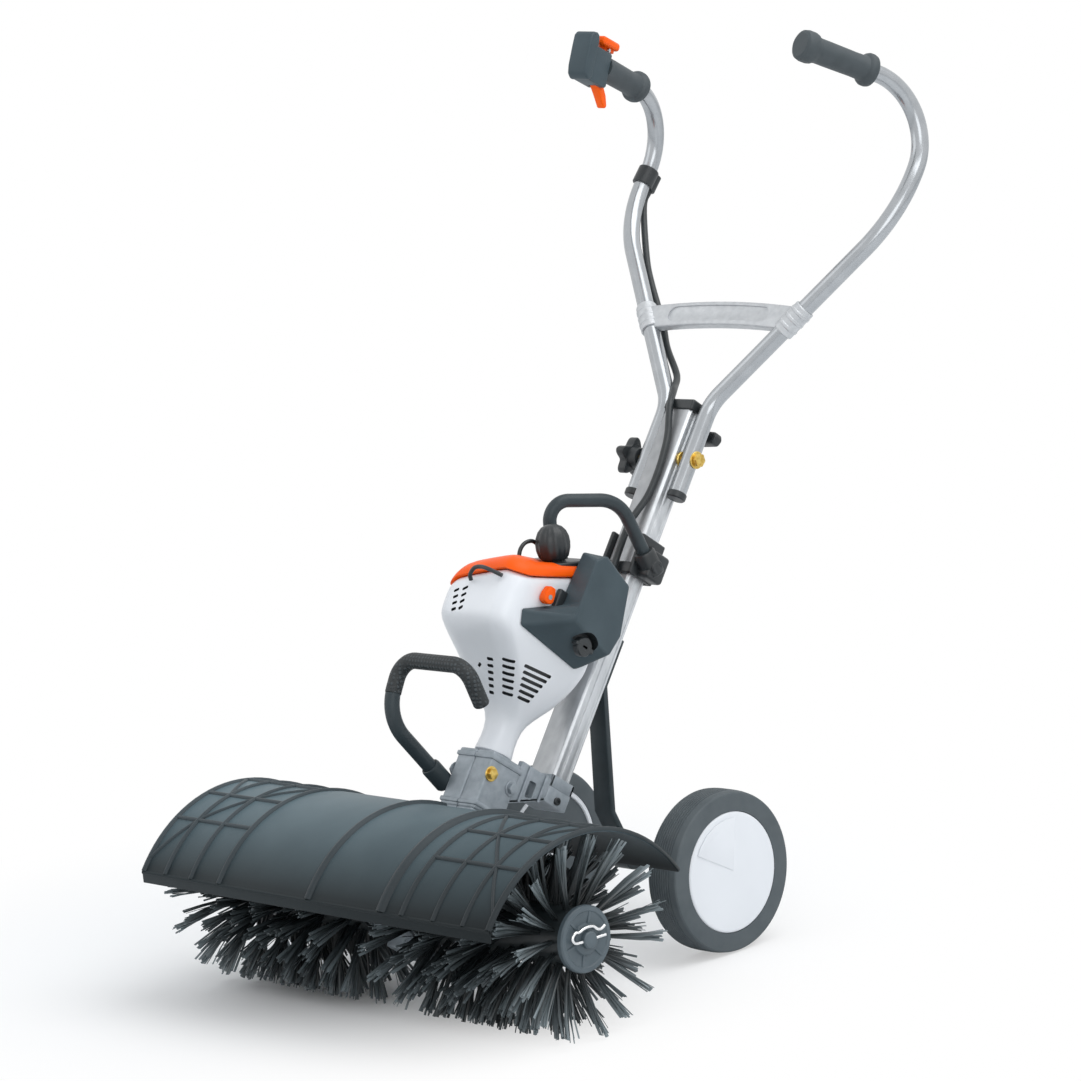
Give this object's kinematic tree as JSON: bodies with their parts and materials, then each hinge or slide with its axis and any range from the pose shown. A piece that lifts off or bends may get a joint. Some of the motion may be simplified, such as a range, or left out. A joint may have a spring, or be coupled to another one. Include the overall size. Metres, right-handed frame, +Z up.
{
  "type": "walk-behind power brush sweeper",
  "caption": "Petrol walk-behind sweeper: engine and worm gearbox on a leaning column drive a two-half roller brush under a ribbed hood, with wheels and a folding handlebar.",
  "frame": {"origin": "on the floor, under the middle of the bounding box", "axes": "+X to the operator's left, -Y to the front where the brush is, +Z up"},
  "size_m": [0.641, 0.9222, 1.1192],
  "materials": {
    "bright_metal": "satin, drawn",
    "cast_grey": "bead-blasted cast",
    "zinc_yellow": "yellow zinc plating",
    "steel": "turned",
    "bronze": "machined",
    "dark_plastic": "fine grain",
    "black_plastic": "satin",
    "white_plastic": "smooth moulded",
    "orange_plastic": "smooth moulded",
    "dark_paint": "satin powder coat",
    "grip_rubber": "soft matt",
    "cable_skin": "smooth extruded",
    "rope": "braided",
    "tyre": "matt rubber",
    "grey_core": "moulded",
    "bristle": "extruded strands"
  },
  "bodies": {
    "chassis": {"main_column": "bright_metal", "column_cap": "black_plastic", "base_bracket": "cast_grey", "gearbox_left_half": "cast_grey", "gearbox_right_half": "cast_grey", "gearbox_bolts": "zinc_yellow", "brush_hood": "dark_plastic", "hood_screws": "black_plastic", "axle_strut": "dark_paint", "strut_bolts": "steel", "wheel_axle": "steel", "axle_collars": "steel", "engine_block": "cast_grey", "muffler": "steel", "engine_shroud": "white_plastic", "top_cover": "orange_plastic", "carburettor": "cast_grey", "air_filter_cover": "dark_plastic", "fuel_tank": "white_plastic", "starter_housing": "black_plastic", "carry_handle": "dark_paint", "handle_clamp": "black_plastic", "front_handle": "dark_paint", "cable_lower": "cable_skin", "cable_bridge": "cable_skin", "pivot_bolt": "zinc_yellow", "ignition_lead": "cable_skin", "starter_rope": "rope"},
    "handlebar": {"handle_tube_left": "bright_metal", "handle_tube_right": "bright_metal", "tube_plugs": "black_plastic", "cross_brace": "bright_metal", "grip_left": "grip_rubber", "grip_right": "grip_rubber", "throttle_housing": "dark_plastic", "cable_clip": "black_plastic", "cable_upper": "cable_skin"},
    "throttle_trigger": {"throttle_trigger": "orange_plastic"},
    "stop_switch": {"stop_switch": "orange_plastic"},
    "star_knob": {"star_knob": "black_plastic"},
    "wing_knob": {"wing_knob": "black_plastic"},
    "starter_grip": {"starter_grip": "grip_rubber"},
    "choke_knob": {"choke_knob": "orange_plastic"},
    "filter_knob": {"filter_knob": "black_plastic"},
    "fuel_cap": {"fuel_cap": "black_plastic"},
    "left_wheel": {"tyre_left": "tyre", "wheel_left": "white_plastic"},
    "right_wheel": {"tyre_right": "tyre", "wheel_right": "white_plastic"},
    "brush": {"output_shaft": "steel", "worm_wheel": "bronze", "brush_core_left": "grey_core", "brush_core_right": "grey_core", "bristles_left": "bristle", "bristles_right": "bristle", "r_clips": "steel"},
    "worm_drive": {"worm_shaft": "steel"},
    "crank": {"crankshaft": "steel"}
  },
  "joints": [
    {"name": "handlebar_fold", "type": "hinge", "parent": "chassis", "child": "handlebar", "pos_m": [0, 0.1934, 0.58259], "axis": [1, 0, 0], "range_deg": [0, 100], "deforming": ["cable_bridge"]},
    {"name": "throttle_squeeze", "type": "hinge", "parent": "handlebar", "child": "throttle_trigger", "pos_m": [-0.19668, 0.31492, 1.05222], "axis": [0.9824, 0.1718, -0.0737], "range_deg": [0, 18], "stiffness_Nm_per_rad": 0.5},
    {"name": "stop_switch_rock", "type": "hinge", "parent": "handlebar", "child": "stop_switch", "pos_m": [-0.19761, 0.33679, 1.09071], "axis": [0.9824, 0.1718, -0.0737], "range_deg": [0, 15]},
    {"name": "star_knob_turn", "type": "hinge", "parent": "chassis", "child": "star_knob", "pos_m": [0, 0.1934, 0.58259], "axis": [1, 0, 0], "range_deg": [0, 360]},
    {"name": "wing_knob_turn", "type": "hinge", "parent": "chassis", "child": "wing_knob", "pos_m": [0, 0.23558, 0.61518], "axis": [0, 0.8151, -0.5793], "range_deg": [0, 360]},
    {"name": "starter_pull", "type": "slide", "parent": "chassis", "child": "starter_grip", "axis": [0, 0, 1], "range_m": [0, 0.6], "stiffness_N_per_m": 15, "deforming": ["starter_rope"]},
    {"name": "choke_turn", "type": "hinge", "parent": "chassis", "child": "choke_knob", "pos_m": [0.0683, -0.09763, 0.46309], "axis": [1, 0, 0], "range_deg": [0, 90]},
    {"name": "filter_knob_turn", "type": "hinge", "parent": "chassis", "child": "filter_knob", "pos_m": [0.08524, -0.06794, 0.39783], "axis": [1, 0, 0], "range_deg": [0, 180]},
    {"name": "fuel_cap_turn", "type": "hinge", "parent": "chassis", "child": "fuel_cap", "pos_m": [-0.0783, -0.03846, 0.4652], "axis": [0, 0.5793, 0.8151], "range_deg": [0, 120]},
    {"name": "left_wheel_roll", "type": "hinge", "parent": "chassis", "child": "left_wheel", "pos_m": [0, 0.05791, 0.1], "axis": [1, 0, 0], "continuous": true},
    {"name": "right_wheel_roll", "type": "hinge", "parent": "chassis", "child": "right_wheel", "pos_m": [0, 0.05791, 0.1], "axis": [1, 0, 0], "continuous": true},
    {"name": "brush_turn", "type": "hinge", "parent": "chassis", "child": "brush", "pos_m": [0, -0.30709, 0.12], "axis": [1, 0, 0], "continuous": true},
    {"name": "worm_turn", "type": "hinge", "parent": "chassis", "child": "worm_drive", "pos_m": [0, -0.14994, 0.27208], "axis": [0, 0.5793, 0.8151], "continuous": true},
    {"name": "crank_turn", "type": "hinge", "parent": "chassis", "child": "crank", "pos_m": [0, -0.14994, 0.27208], "axis": [0, 0.5793, 0.8151], "continuous": true}
  ],
  "couplings": [
    {"joint": "worm_turn", "follows": "brush_turn", "ratio": 28}
  ]
}
